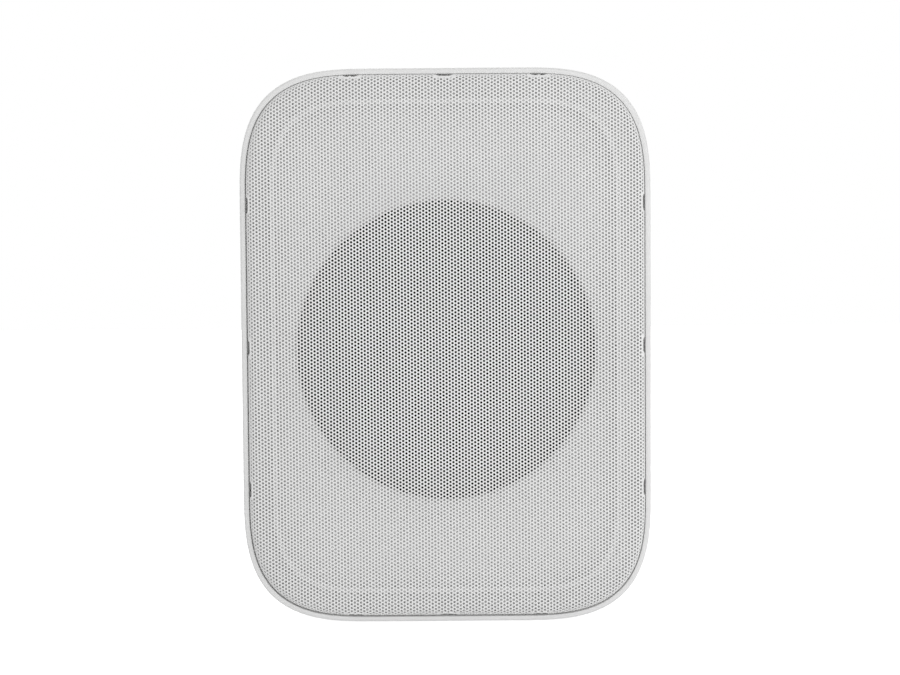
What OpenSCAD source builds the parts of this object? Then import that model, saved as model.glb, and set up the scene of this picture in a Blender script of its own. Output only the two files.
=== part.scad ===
// Public address wall speaker for 100 V lines.
// A moulded cabinet in two parts, a formed and perforated steel grille over the
// whole front, a dual-cone driver behind the baffle and a line transformer.
// Frame: X to the right, Z up, the wall is the plane Y = 0 and the front faces -Y.
// Inside the modules the wall is Z = 0 and Z grows out of the wall.

/* [Cabinet] */
// Overall width
body_w = 200; // [190:1:230]
// Overall height
body_h = 270; // [240:1:320]
// Depth from the wall to the face of the grille
body_d = 105; // [100:1:130]
// Reach of each rounded corner along both sides
corner_reach = 64; // [44:1:66]
// Fullness of the corners, where 2 is a true arc
corner_power = 3; // [2:0.01:3.2]
// Wall of the rear cabinet
wall = 3; // [2.4:0.1:4]
// How far the sides taper in between the joint line and the wall
taper = 5; // [2:0.5:9]
// Radius of the rounded rear edge
rear_radius = 9; // [6:0.5:12]

/* [Front baffle] */
// Depth of the baffle's side, from the grille's face to the joint line
front_depth = 15; // [14:0.5:20]
// Width of the rim beside the grille
rim_w = 3.2; // [1.8:0.1:4]
// How far the grille's face stands proud of the rim
grille_proud = 3; // [2:0.1:4]
// How far the rim's side leans in towards the front
rim_lean = 1.1; // [0.4:0.1:1.6]
// Thickness of the baffle panel
panel_t = 3; // [2.5:0.1:4]
// Depth from the grille's face to the panel
panel_depth = 10; // [9:0.5:12]
// Distance of the support rib from the cabinet's edge
rib_inset = 15.4; // [13:0.1:18]
// Width of the support rib
rib_w = 2.4; // [1.6:0.1:4]

/* [Grille] */
// Sheet thickness of the grille
sheet_t = 0.8; // [0.6:0.1:1.2]
// Outer radius of the grille's rolled edge
roll_radius = 4; // [3:0.5:6]
// Gap between the grille and the rim
grille_gap = 0.9; // [0.4:0.1:1.2]
// Pitch of the real perforation
true_pitch = 1.75; // [1.5:0.05:2]
// Diameter of the real holes
true_hole = 1.05; // [0.9:0.05:1.2]
// One modelled hole stands for this many real pitches each way
coarseness = 7; // [7:1:12]
// Depth of the blind holes where the panel backs the sheet
pit_depth = 0.45; // [0.2:0.05:0.5]
// Width of each spring tab
tab_w = 7.2; // [5:0.1:9]
// Clearance at each end of a tab's socket
tab_clear = 0.55; // [0.3:0.05:1]
// How far the tabs are set in from the rolled edge
tab_set = 1; // [0.8:0.1:1.5]
// Spacing of the tabs along the top and bottom
tab_pitch_x = 45.3; // [30:0.1:50]
// Spacing of the tabs along the sides
tab_pitch_y = 69; // [50:0.5:80]

/* [Driver] */
// Diameter of the opening in the baffle
opening_d = 146; // [140:1:150]
// Height of the driver's axis over the cabinet's middle
driver_y = -2; // [-6:0.5:6]
// Width of the basket's flange outside the opening
flange_w = 10; // [9:0.5:11]
// Sheet thickness of the basket
basket_t = 1.2; // [0.8:0.1:1.5]
// Thickness of the gasket between flange and baffle
gasket_t = 2; // [1.5:0.5:3]
// Distance of the driver's screws outside the opening
driver_screw_out = 5.5; // [5:0.1:6]
// Depth of the basket from the flange's face to its floor
basket_depth = 42; // [38:1:46]
// Diameter of the voice coil's former, inside
former_d = 25.2; // [24:0.1:27]
// Wall of the former
former_t = 0.3; // [0.2:0.05:0.4]
// Radial build of the winding
winding_t = 0.6; // [0.4:0.05:0.8]
// Length of the winding
winding_l = 9; // [7:0.5:11]
// Running clearance on each side of the coil
coil_clear = 0.35; // [0.3:0.05:0.6]
// Thickness of the top plate
top_plate_t = 5; // [4:0.5:6]
// Diameter of the ring magnet
magnet_d = 80; // [70:1:90]
// Thickness of the ring magnet
magnet_t = 12; // [10:0.5:15]
// Thickness of the yoke's back plate
yoke_t = 5; // [4:0.5:6]

/* [Line transformer] */
// Width of the laminated core
core_w = 41; // [36:0.5:48]
// Height of the laminated core off the wall
core_h = 34.5; // [30:0.5:40]
// Thickness of the lamination stack
stack_t = 15; // [12:0.5:18]
// Width of the core's middle leg
core_leg = 13; // [11:0.5:15]
// Height of the transformer over the cabinet's middle
transformer_y = 86; // [84:0.5:90]
// Sheet thickness of the clamp frame
frame_t = 1; // [0.8:0.1:1.5]

/* [Rear fittings] */
// Spacing of the two keyholes
key_pitch = 100; // [96:1:110]
// Height of the keyholes' entry over the cabinet's middle
key_y = 95; // [88:1:98]
// Diameter of the keyholes' entry
key_entry_d = 9; // [8:0.5:10]
// Width of the keyholes' slot
key_slot_w = 4.4; // [3.6:0.1:5]
// Width of the terminal recess
recess_w = 64; // [60:1:72]
// Height of the terminal recess
recess_h = 40; // [36:1:44]
// Depth of the terminal recess
recess_depth = 26; // [24:1:30]
// Distance of the recess's middle below the cabinet's middle
recess_drop = 80; // [76:1:84]
// Width of the cable channel
channel_w = 14; // [10:1:18]
// Depth of the cable channel
channel_depth = 8; // [6:0.5:10]
// Number of poles of the terminal block
poles = 4; // [2:1:5]
// Pitch of the poles
pole_pitch = 9; // [8:0.5:9]

/* [Screws] */
// Shank diameter of the cabinet's screws
case_screw_d = 3; // [2.5:0.1:3.5]
// Distance of the cabinet's screws from the sides
case_screw_side = 26; // [25:0.5:30]
// Distance of the cabinet's screws from the top and bottom
case_screw_end = 23; // [22.5:0.5:27]
// Diameter of the driver tunnels to the cabinet's screws
tunnel_d = 7.6; // [7.2:0.1:8.4]
// Shank diameter of the driver's and the transformer's screws
small_screw_d = 3.5; // [3:0.1:4]
// Radial clearance of a screw in its pilot hole
pilot_clear = 0.05; // [0.02:0.01:0.08]
// Radial clearance of a screw in a through hole
shank_clear = 0.4; // [0.3:0.05:0.6]

/* [Hidden] */

// Facets of true rounds, and steps of each corner and of each rolled edge
$fn = 96;
corner_steps = 16;
roll_steps = 6;
// How far cutting tools reach past the faces they cut
over = 1;

// Levels out of the wall
joint_z = body_d - front_depth;
rim_z = body_d - grille_proud;
panel_z = body_d - panel_depth;
panel_back_z = panel_z - panel_t;
flange_z = panel_back_z - gasket_t;
sheet_back_z = body_d - sheet_t;

// Seal between the cabinet and the baffle, and the shadow line outside it
reveal = 0.6;
lip_w = 1.4;
seal_h = 2.5;
seal_clear = 0.05;

// Baffle: the upright part of its side, its rim's rounding, its tongue in the cabinet
side_h = 3;
rim_edge_r = (rim_w - rim_lean) * 0.6;
tongue_depth = 6;
tongue_clear = 0.2;
tongue_w = 2.8;
tongue_inset = wall + taper * tongue_depth / (joint_z - rear_radius) + tongue_clear;
opening_bevel = 1.5;
rib_gap = 0.4;
back_rib_t = 2;
back_rib_h = 6;
back_rib_pitch = 36;
back_rib_clear = 2;

// Grille: its flange ends over the panel, its tabs reach into sockets in the panel
grille_inset = rim_w + grille_gap;
flange_end_z = panel_z + 0.4;
tab_reach = 3.2;
socket_clear = 0.25;
socket_depth = 3.8;
tab_top_z = body_d - roll_radius + sqrt(pow(roll_radius, 2) - pow(roll_radius - tab_set, 2)) - 0.2 * sheet_t;
hole_pitch = true_pitch * coarseness;
hole_r = true_hole * coarseness / 2;
hole_sides = 8;
lattice_columns = ceil(body_w / hole_pitch);
lattice_rows = ceil(body_h / hole_pitch / 2);

// Cabinet screws: bosses of the baffle stand over tunnels of the cabinet
case_screw_x = body_w / 2 - case_screw_side;
case_screw_y = body_h / 2 - case_screw_end;
boss_r = 5.5;
boss_gap = 0.2;
baffle_boss_r = 4.5;
baffle_boss_l = 17;
tunnel_top_z = panel_back_z - baffle_boss_l - boss_gap;
web_t = 13;
case_head_r = 3.3;
case_head_h = 2.4;
case_screw_reach = 12;

// Driver, with its flange's face at zero and the front up
flange_r = opening_d / 2 + flange_w;
flange_lip_w = 6.5;
flange_in_r = opening_d / 2 - flange_lip_w;
screw_circle_r = opening_d / 2 + driver_screw_out;
surround_t = 0.6;
surround_clear = 0.2;
surround_lip_w = 4.3;
surround_roll_w = 7.5;
lip_out_r = opening_d / 2 - surround_clear;
roll_out_r = lip_out_r - surround_lip_w;
roll_in_r = roll_out_r - surround_roll_w;
gasket_clear = 0.4;
gasket_r = opening_d / 2 + gasket_clear;
gasket_edge = 0.5;
cone_t = 0.8;
cone_flat_w = 4;
glue = 0.05;
winding_glue = 0.02;
spider_glue = 0.3;
coil_r = former_d / 2 + former_t;
neck_z = -30;
former_top_z = -24;
whizzer_foot = 2;
whizzer_r = 30;
whizzer_rise = 15;
whizzer_t = 0.5;
dust_rise = 5;
dust_t = 0.4;
basket_floor_z = -basket_depth;
basket_floor_r = 42;
basket_hole_r = 16;
spider_seat_z = basket_floor_z + 8;
spider_t = 0.5;
spider_out_r = 49;
spider_lip_r = basket_floor_r + 1.4;
spider_waves = 6;
spider_wave_h = 1.2;
window_low_z = spider_seat_z + 3;
window_top_z = -5;
window_low_w = 22;
window_top_w = 26;
windows = 8;
winding_r = coil_r + winding_glue + winding_t;
bore_r = winding_r + coil_clear;
pole_r = former_d / 2 - coil_clear;
motor_z = basket_floor_z - basket_t;
magnet_z = motor_z - top_plate_t;
yoke_z = magnet_z - magnet_t;
coil_low_z = motor_z - top_plate_t / 2 - winding_l / 2;
plate_r = magnet_d / 2 - 4;
magnet_bore_r = 20;
magnet_bevel = 1;
yoke_bevel = 1.5;
vent_r = 4;
driver_boss_r = 3.8;
driver_boss_h = 3.5;
small_head_r = 3.4;
small_head_h = 2.2;
strip_w = 18;
strip_t = 1.6;
strip_z = -22;
strip_l = 8;
strip_stand = 3.5;
shelf_sink = 0.5;
basket_step_r = spider_out_r + 1.5;
basket_rim_r = flange_in_r + 1;
basket_slope = (basket_rim_r - basket_step_r) / -spider_seat_z;
strip_wall_r = basket_step_r + basket_slope * (strip_z - spider_seat_z);
strip_shelf_r = strip_wall_r - shelf_sink;
strip_in_r = strip_wall_r + strip_stand;
strip_r = strip_in_r + strip_l;

// Transformer, with its feet on two bosses
foot_boss_h = 5;
foot_boss_r = 4.5;
foot_z = wall + foot_boss_h;
foot_floor_z = 1.6;
foot_reach = 9;
foot_hole_x = core_w / 2 + frame_t + foot_reach / 2;
core_z = foot_z + frame_t + 0.6;
core_yoke = core_leg / 2 + 0.5;
window_w = (core_w - core_leg) / 2 - core_yoke;
bobbin_clear = 0.15;
bobbin_t = 1;
bobbin_h = core_h - 2 * core_yoke - 2 * bobbin_clear;
bobbin_reach = window_w - 0.3;
coil_bulge = 7.5;

// Rear fittings
key_rise = 9;
key_pocket_r = key_entry_d / 2 + 1;
key_pocket_z = 11;
recess_wall = 2.4;
recess_r = 4;
rear_rib_t = 2;
rear_rib_h = 5;
rear_rib_pitch = 40;
rear_rib_top = 64;
rear_rib_rows = [-30, 30];

// Internal leads
lead_d = 1.3;
lead_gap = 0.3;
lead_sides = 8;
lead_steps = 5;

// Terminal block on the floor of the recess
block_w = poles * pole_pitch + 3;
block_h = 16;
block_depth = 13;
block_clear = 0.2;
block_inner_h = 6;
block_inner_w = block_w - 3;
block_inner_depth = 9;
block_flange_t = 2;
block_flange_w = block_w + 16;
block_hole_x = block_w / 2 + 4.5;
block_screw_r = 1.4;
block_boss_r = 3.2;
block_boss_h = 4;
clamp_r = 2.2;
clamp_shift = 3.5;
clamp_depth = 4.5;
wire_hole_r = 1.9;
tag_w = 2.8;
tag_t = 0.8;
tag_l = 8;
tag_seat = 3;
tag_clear = 0.1;

// Outline of the cabinet, drawn in by an inset
function outline(inset) =
    let (a = body_w / 2 - corner_reach,
         b = body_h / 2 - corner_reach,
         c = corner_reach - inset,
         e = 2 / corner_power)
    [for (q = [0:3], i = [0:corner_steps])
        let (t = 90 * i / corner_steps,
             u = pow(cos(t), e),
             v = pow(sin(t), e))
        q == 0 ? [a + c * u, b + c * v] :
        q == 1 ? [-a - c * v, b + c * u] :
        q == 2 ? [-a - c * u, -b - c * v] :
                 [a + c * v, -b - c * u]];

// Whether a point lies inside the outline at an inset
function inside(p, inset) =
    let (c = corner_reach - inset,
         u = max(abs(p[0]) - body_w / 2 + corner_reach, 0) / c,
         v = max(abs(p[1]) - body_h / 2 + corner_reach, 0) / c)
    pow(u, corner_power) + pow(v, corner_power) < 1;

// Closed outline of a sheet of thickness t that follows a path, on its left side
function sheet_side(path, t) =
    [for (i = [0:len(path) - 1])
        let (before = path[max(i - 1, 0)],
             here = path[i],
             after = path[min(i + 1, len(path) - 1)],
             d1 = i == 0 ? after - here : here - before,
             d2 = i == len(path) - 1 ? here - before : after - here,
             n1 = [-d1[1], d1[0]] / norm(d1),
             n2 = [-d2[1], d2[0]] / norm(d2))
        here + t * (n1 + n2) / (1 + n1 * n2)];

function sheet(path, t) =
    let (side = sheet_side(path, t))
    concat(path, [for (i = [len(path) - 1:-1:0]) side[i]]);

// Points of an arc in a profile
function arc(cx, cy, r, from, to, n) =
    [for (i = [0:n])
        let (a = from + (to - from) * i / n)
        [cx + r * cos(a), cy + r * sin(a)]];

// Rings of a rolled or rounded edge, from the side at inset up to the flat at z
function rolled(inset, z, r) =
    [for (i = [0:roll_steps])
        let (a = 90 * i / roll_steps)
        [inset + r * (1 - cos(a)), z - r + r * sin(a)]];

// Points of a smooth curve through a route, with its ends kept
function curve(route) =
    let (last = len(route) - 1)
    [for (i = [0:last - 1], k = [0:lead_steps - (i < last - 1 ? 1 : 0)])
        let (s = k / lead_steps,
             a = route[max(i - 1, 0)],
             b = route[i],
             c = route[i + 1],
             d = route[min(i + 2, last)])
        b + s / 2 * (c - a + s * (2 * a - 5 * b + 4 * c - d + s * (3 * (b - c) + d - a)))];

// Direction of a path at one of its points
function heading(path, i) =
    let (v = path[min(i + 1, len(path) - 1)] - path[max(i - 1, 0)])
    v / norm(v);

// Directions square to a path that turn with it without twisting
function square_to(v, t) =
    let (w = v - (v * t) * t)
    w / norm(w);

function frames(path) =
    [for (i = 0, n = square_to([1, 0.2, 0], heading(path, 0)); i < len(path);
          i = i + 1, n = i < len(path) ? square_to(n, heading(path, i)) : n) n];

// The part's own frame: out of the wall becomes -Y
module from_wall() {
    rotate([90, 0, 0])
        children();
}

module at_driver() {
    translate([0, driver_y, flange_z])
        children();
}

// A closed body over rings with the same number of points each
module skin(rings) {
    n = len(rings[0]);
    m = len(rings);
    points = [for (ring = rings, p = ring) p];
    first = [[for (i = [0:n - 1]) i]];
    last = [[for (i = [n - 1:-1:0]) (m - 1) * n + i]];
    sides = [for (j = [0:m - 2], i = [0:n - 1])
        let (k = (i + 1) % n)
        [j * n + i, (j + 1) * n + i, (j + 1) * n + k, j * n + k]];
    polyhedron(points, concat(first, sides, last), convexity = 4);
}

// A closed body through rings of [inset, height], lowest ring first
module loft(rings) {
    skin([for (r = rings) [for (p = outline(r[0])) [p[0], p[1], r[1]]]]);
}

// A round lead along a curve that runs through the given points
module lead(route) {
    path = curve(route);
    skin([for (i = [0:len(path) - 1])
        let (t = heading(path, i),
             n = frames(path)[i],
             b = cross(t, n))
        [for (k = [0:lead_sides - 1])
            path[i] + lead_d / 2 * (cos(360 * k / lead_sides) * n + sin(360 * k / lead_sides) * b)]]);
}

// A straight plate on the outline
module plate(inset, low, high) {
    translate([0, 0, low])
        linear_extrude(high - low)
            polygon(outline(inset));
}

// A straight wall that follows the outline
module ring(inset, width, low, high) {
    translate([0, 0, low])
        linear_extrude(high - low)
            difference() {
                polygon(outline(inset));
                polygon(outline(inset + width));
            }
}

module turned(profile) {
    rotate_extrude()
        polygon(profile);
}

module rod(r, low, high) {
    translate([0, 0, low])
        cylinder(r = r, h = high - low);
}

// Places of the twelve tabs, with Y out of the cabinet's side at zero
module at_tabs() {
    for (side = [0, 180], i = [-1:1])
        rotate(side)
            translate([i * tab_pitch_x, body_h / 2, 0])
                children();
    for (side = [90, -90], i = [-1:1])
        rotate(side)
            translate([i * tab_pitch_y, body_w / 2, 0])
                children();
}

module at_case_screws() {
    for (x = [-1, 1], y = [-1, 1])
        translate([x * case_screw_x, y * case_screw_y, 0])
            children();
}

module at_driver_screws() {
    for (i = [0:3])
        rotate(45 + 90 * i)
            translate([screw_circle_r, 0, 0])
                children();
}

// Pan-headed screw along Z, its head's seat at zero and its shank upwards
module pan_screw(shank_r, length, head_r, head_h) {
    turned([[0, -head_h], [head_r * 0.6, -head_h], [head_r * 0.9, -head_h * 0.75], [head_r, -head_h * 0.35],
            [head_r, 0], [shank_r, 0], [shank_r, length - shank_r], [shank_r * 0.3, length], [0, length]]);
}

// Rear cabinet

// Rings of a drafted shell with a rounded rear edge, up to a level
module drafted(inset, low, radius, high, high_inset) {
    back = [for (i = [roll_steps:-1:0])
                let (a = 90 * i / roll_steps)
                [inset + radius * (1 - cos(a)), low + radius * (1 - sin(a))]];
    loft(concat(back, [[high_inset, high]]));
}

module rounded_square(w, h, r) {
    square([w - 2 * r, h], center = true);
    square([w, h - 2 * r], center = true);
    for (x = [-1, 1], y = [-1, 1])
        translate([x * (w / 2 - r), y * (h / 2 - r)])
            circle(r);
}

// Upright slot with round ends, from its lower centre up
module upright_slot(r, length) {
    circle(r);
    translate([0, length])
        circle(r);
    translate([-r, 0])
        square([2 * r, length]);
}

module at_keyholes() {
    for (x = [-1, 1])
        translate([x * key_pitch / 2, key_y, 0])
            children();
}

module at_block_screws() {
    for (x = [-1, 1])
        translate([x * block_hole_x, -recess_drop, 0])
            children();
}

module at_foot_screws() {
    for (x = [-1, 1])
        translate([x * foot_hole_x, transformer_y, 0])
            children();
}

// Pockets, tunnels, bosses and ribs inside the shell
module cabinet_inside() {
    at_case_screws()
        rod(boss_r, 0, tunnel_top_z);
    at_keyholes()
        linear_extrude(key_pocket_z + recess_wall)
            upright_slot(key_pocket_r + recess_wall, key_rise);
    translate([0, -recess_drop, 0])
        linear_extrude(recess_depth + recess_wall)
            rounded_square(recess_w + 2 * recess_wall, recess_h + 2 * recess_wall, recess_r + recess_wall);
    translate([-channel_w / 2 - recess_wall, -body_h / 2, 0])
        cube([channel_w + 2 * recess_wall, body_h / 2 - recess_drop, channel_depth + recess_wall]);
    at_block_screws()
        rod(block_boss_r, recess_depth, recess_depth + recess_wall + block_boss_h);
    at_foot_screws()
        rod(foot_boss_r, 0, foot_z);
    for (x = [-1.5, -0.5, 0.5, 1.5] * rear_rib_pitch)
        translate([x - rear_rib_t / 2, -recess_drop + recess_h / 2, 0])
            cube([rear_rib_t, rear_rib_top + recess_drop - recess_h / 2, wall + rear_rib_h]);
    for (y = rear_rib_rows)
        translate([-body_w / 2, y - rear_rib_t / 2, 0])
            cube([body_w, rear_rib_t, wall + rear_rib_h]);
}

module cabinet_cuts() {
    at_case_screws() {
        rod(tunnel_d / 2, -over, tunnel_top_z - web_t);
        rod(case_screw_d / 2 + shank_clear, -over, tunnel_top_z + over);
    }
    at_keyholes() {
        rod(key_entry_d / 2, -over, key_pocket_z);
        translate([0, 0, -over])
            linear_extrude(wall + 2 * over)
                upright_slot(key_slot_w / 2, key_rise);
        translate([0, 0, wall])
            linear_extrude(key_pocket_z - wall)
                upright_slot(key_pocket_r, key_rise);
    }
    translate([0, -recess_drop, -over])
        linear_extrude(recess_depth + over)
            rounded_square(recess_w, recess_h, recess_r);
    translate([-channel_w / 2, -body_h / 2 - over, -over])
        cube([channel_w, body_h / 2 - recess_drop + over, channel_depth + over]);
    translate([0, -recess_drop, recess_depth + recess_wall / 2])
        cube([block_inner_w + 2 * block_clear, block_inner_depth + 2 * block_clear, recess_wall + over], center = true);
    at_block_screws()
        rod(block_screw_r + pilot_clear, recess_depth - over, recess_depth + recess_wall + block_boss_h - 1);
    at_foot_screws()
        rod(small_screw_d / 2 + pilot_clear, foot_floor_z, foot_z + over);
}

module rear_cabinet() {
    color("whitesmoke")
        difference() {
            union() {
                difference() {
                    drafted(taper, 0, rear_radius, joint_z - reveal, 0);
                    drafted(taper + wall, wall, rear_radius - wall, joint_z + over, wall);
                }
                intersection() {
                    drafted(taper, 0, rear_radius, joint_z - reveal, 0);
                    cabinet_inside();
                }
            }
            plate(lip_w, joint_z - seal_h, joint_z + over);
            cabinet_cuts();
        }
}

module cabinet_seal() {
    color("dimgray")
        ring(lip_w + seal_clear, wall - lip_w - seal_clear, joint_z - seal_h, joint_z);
}

module cabinet_screws() {
    color("silver")
        at_case_screws()
            translate([0, 0, tunnel_top_z - web_t])
                pan_screw(case_screw_d / 2, web_t + boss_gap + case_screw_reach, case_head_r, case_head_h);
}

// Front baffle

// Tongue, side, rim, panel and support rib as one sweep round the outline
module baffle_shell() {
    tongue_z = joint_z - tongue_depth;
    rib_z = sheet_back_z - rib_gap;
    loft(concat([[tongue_inset + tongue_w, panel_back_z], [tongue_inset + tongue_w, tongue_z],
                 [tongue_inset, tongue_z], [tongue_inset, joint_z], [0, joint_z], [0, joint_z + side_h]],
                rolled(rim_lean, rim_z, rim_edge_r),
                [[rim_w, rim_z], [rim_w, panel_z], [rib_inset, panel_z], [rib_inset, rib_z],
                 [rib_inset + rib_w, rib_z], [rib_inset + rib_w, panel_z]]));
}

// Bosses for the cabinet's screws behind the panel and for the driver's in front of it
module baffle_bosses() {
    at_case_screws()
        rod(baffle_boss_r, panel_back_z - baffle_boss_l, panel_back_z + over);
    at_driver()
        at_driver_screws()
            rod(driver_boss_r, gasket_t + over, gasket_t + panel_t + driver_boss_h);
}

// Stiffening ribs on the panel's back, clear of the driver's flange
module baffle_back_ribs() {
    difference() {
        intersection() {
            plate(tongue_inset + tongue_w - 0.5, panel_back_z - back_rib_h, panel_back_z + over);
            for (i = [-1:1])
                translate([i * back_rib_pitch - back_rib_t / 2, -body_h / 2, panel_back_z - back_rib_h])
                    cube([back_rib_t, body_h, back_rib_h + over]);
        }
        translate([0, driver_y, 0])
            rod(flange_r + back_rib_clear, panel_back_z - back_rib_h - over, panel_back_z + 2 * over);
    }
}

module front_baffle() {
    color("white")
        difference() {
            union() {
                baffle_shell();
                baffle_bosses();
                baffle_back_ribs();
            }
            translate([0, driver_y, 0]) {
                rod(opening_d / 2, panel_back_z - over, panel_z + over);
                translate([0, 0, panel_z - opening_bevel])
                    cylinder(r1 = opening_d / 2, r2 = opening_d / 2 + opening_bevel + 0.1, h = opening_bevel + 0.1);
            }
            at_driver()
                at_driver_screws()
                    rod(small_screw_d / 2 + pilot_clear, gasket_t - over, gasket_t + panel_t + driver_boss_h - 1);
            at_case_screws()
                rod(case_screw_d / 2 + pilot_clear, panel_back_z - baffle_boss_l - over,
                    panel_back_z - baffle_boss_l + case_screw_reach + 1);
            at_tabs()
                translate([-tab_w / 2 - tab_clear, -grille_inset - tab_set - sheet_t - socket_clear,
                           panel_z - socket_depth])
                    cube([tab_w + 2 * tab_clear, sheet_t + 2 * socket_clear, socket_depth + over]);
        }
}

// Grille

module formed_sheet() {
    difference() {
        loft(concat([[grille_inset, flange_end_z]], rolled(grille_inset, body_d, roll_radius)));
        loft(concat([[grille_inset + sheet_t, flange_end_z - over]],
                    rolled(grille_inset + sheet_t, body_d - sheet_t, roll_radius - sheet_t)));
        at_tabs()
            translate([-tab_w / 2 - tab_clear, -grille_inset - tab_set, flange_end_z - over])
                cube([tab_w + 2 * tab_clear, grille_inset + tab_set + over, body_d - flange_end_z + 2 * over]);
    }
    at_tabs()
        translate([-tab_w / 2, -grille_inset - tab_set - sheet_t, panel_z - tab_reach])
            cube([tab_w, sheet_t, tab_top_z - panel_z + tab_reach]);
}

function lattice() =
    [for (i = [-lattice_columns:lattice_columns], j = [-lattice_rows:lattice_rows])
        [i * hole_pitch * sqrt(3) / 2, (j + abs(i % 2) / 2) * hole_pitch]];

function over_driver(p) = norm([p[0], p[1] - driver_y]) < opening_d / 2 - hole_r;

module grille() {
    through = [for (p = lattice()) if (over_driver(p)) p];
    blind = [for (p = lattice())
                if (!over_driver(p) && inside(p, grille_inset + roll_radius + hole_r)) p];
    color("snow")
        difference() {
            formed_sheet();
            translate([0, 0, body_d - sheet_t - over])
                linear_extrude(sheet_t + 2 * over)
                    for (p = through)
                        translate(p)
                            circle(hole_r, $fn = hole_sides);
            translate([0, 0, body_d - pit_depth])
                linear_extrude(pit_depth + over)
                    for (p = blind)
                        translate(p)
                            circle(hole_r, $fn = hole_sides);
        }
}

// Driver

module driver_gasket() {
    color("dimgray")
        at_driver()
            difference() {
                rod(flange_r - gasket_edge, 0, gasket_t);
                rod(gasket_r, -over, gasket_t + over);
                at_driver_screws()
                    rod(small_screw_d / 2 + shank_clear, -over, gasket_t + over);
            }
}

module basket_shell() {
    turned(sheet([[basket_hole_r, motor_z], [basket_floor_r, motor_z],
                  [basket_floor_r + 3, spider_seat_z - basket_t], [basket_step_r, spider_seat_z - basket_t],
                  [basket_rim_r, -basket_t], [flange_r, -basket_t]], basket_t));
}

module basket_window() {
    translate([basket_floor_r, 0, 0])
        rotate([90, 0, 90])
            linear_extrude(flange_in_r - basket_floor_r + 4)
                polygon([[-window_low_w / 2 + 3, window_low_z], [window_low_w / 2 - 3, window_low_z],
                         [window_low_w / 2, window_low_z + 3], [window_top_w / 2, window_top_z - 4],
                         [window_top_w / 2 - 4, window_top_z], [-window_top_w / 2 + 4, window_top_z],
                         [-window_top_w / 2, window_top_z - 4], [-window_low_w / 2, window_low_z + 3]]);
}

module basket() {
    color("darkslategray")
        at_driver()
            difference() {
                union() {
                    basket_shell();
                    translate([-strip_w / 2 + 2, strip_shelf_r, strip_z - basket_t])
                        cube([strip_w - 4, strip_r - strip_shelf_r + 1, basket_t]);
                }
                for (i = [0:windows - 1])
                    rotate((i + 0.5) * 360 / windows)
                        basket_window();
                at_driver_screws()
                    rod(small_screw_d / 2 + shank_clear, -basket_t - over, over);
            }
}

module surround() {
    color("black")
        at_driver()
            turned(sheet(concat([[roll_in_r - cone_flat_w, 0]],
                                arc((roll_in_r + roll_out_r) / 2, 0, (roll_out_r - roll_in_r) / 2, 180, 0, 12),
                                [[lip_out_r, 0]]), surround_t));
}

function cone_curve(r0, z0, r1, z1, power, n) =
    [for (i = [0:n]) [r0 + (r1 - r0) * i / n, z0 + (z1 - z0) * pow(i / n, power)]];

module cone() {
    neck_r = coil_r + glue + cone_t;
    color("black")
        at_driver()
            turned(sheet(concat([[neck_r, neck_z - 2]],
                                cone_curve(neck_r, neck_z, roll_in_r - cone_flat_w, -cone_t, 0.75, 10),
                                [[roll_in_r, -cone_t]]), cone_t));
}

module whizzer_cone() {
    foot_r = coil_r + glue + whizzer_t;
    color("dimgray")
        at_driver()
            turned(sheet(concat([[foot_r, former_top_z - whizzer_foot]],
                                [for (i = [0:8])
                                    [foot_r + (whizzer_r - foot_r) * pow(i / 8, 1.6),
                                     former_top_z + whizzer_rise * i / 8]]), whizzer_t));
}

module dust_cap() {
    base_r = former_d / 2;
    dome_r = (pow(base_r, 2) + pow(dust_rise, 2)) / (2 * dust_rise);
    edge = asin(base_r / dome_r);
    color("black")
        at_driver()
            translate([0, 0, former_top_z + dust_rise - dome_r])
                turned(concat(arc(0, 0, dome_r, 90, 90 - edge, 8), arc(0, 0, dome_r + dust_t, 90 - edge, 90, 8)));
}

module coil_former() {
    color("peru")
        at_driver()
            difference() {
                rod(coil_r, coil_low_z - 1, former_top_z);
                rod(former_d / 2, coil_low_z - 2, former_top_z + over);
            }
}

module coil_winding() {
    color("chocolate")
        at_driver()
            difference() {
                rod(winding_r, coil_low_z, coil_low_z + winding_l);
                rod(coil_r + winding_glue, coil_low_z - over, coil_low_z + winding_l + over);
            }
}

module spider() {
    flat = 3;
    span = spider_lip_r - coil_r - glue - flat;
    color("goldenrod")
        at_driver()
            turned(sheet(concat([[coil_r + spider_glue, spider_seat_z]],
                                [for (i = [0:4 * spider_waves])
                                    [coil_r + flat + span * i / (4 * spider_waves),
                                     spider_seat_z + spider_wave_h * sin(90 * i)]],
                                [[spider_out_r, spider_seat_z]]), spider_t));
}

module top_plate() {
    color("silver")
        at_driver()
            difference() {
                rod(plate_r, magnet_z, motor_z);
                rod(bore_r, magnet_z - over, motor_z + over);
            }
}

module ring_magnet() {
    color("darkgray")
        at_driver()
            turned([[magnet_bore_r, yoke_z], [magnet_d / 2 - magnet_bevel, yoke_z],
                    [magnet_d / 2, yoke_z + magnet_bevel], [magnet_d / 2, magnet_z - magnet_bevel],
                    [magnet_d / 2 - magnet_bevel, magnet_z], [magnet_bore_r, magnet_z]]);
}

module yoke() {
    back_z = yoke_z - yoke_t;
    color("silver")
        at_driver()
            turned([[vent_r, back_z], [plate_r - yoke_bevel, back_z], [plate_r, back_z + yoke_bevel],
                    [plate_r, yoke_z], [pole_r, yoke_z], [pole_r, motor_z], [vent_r, motor_z]]);
}

module driver_terminal() {
    color("saddlebrown")
        at_driver()
            translate([-strip_w / 2, strip_in_r, strip_z])
                cube([strip_w, strip_r - strip_in_r, strip_t]);
}

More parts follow.
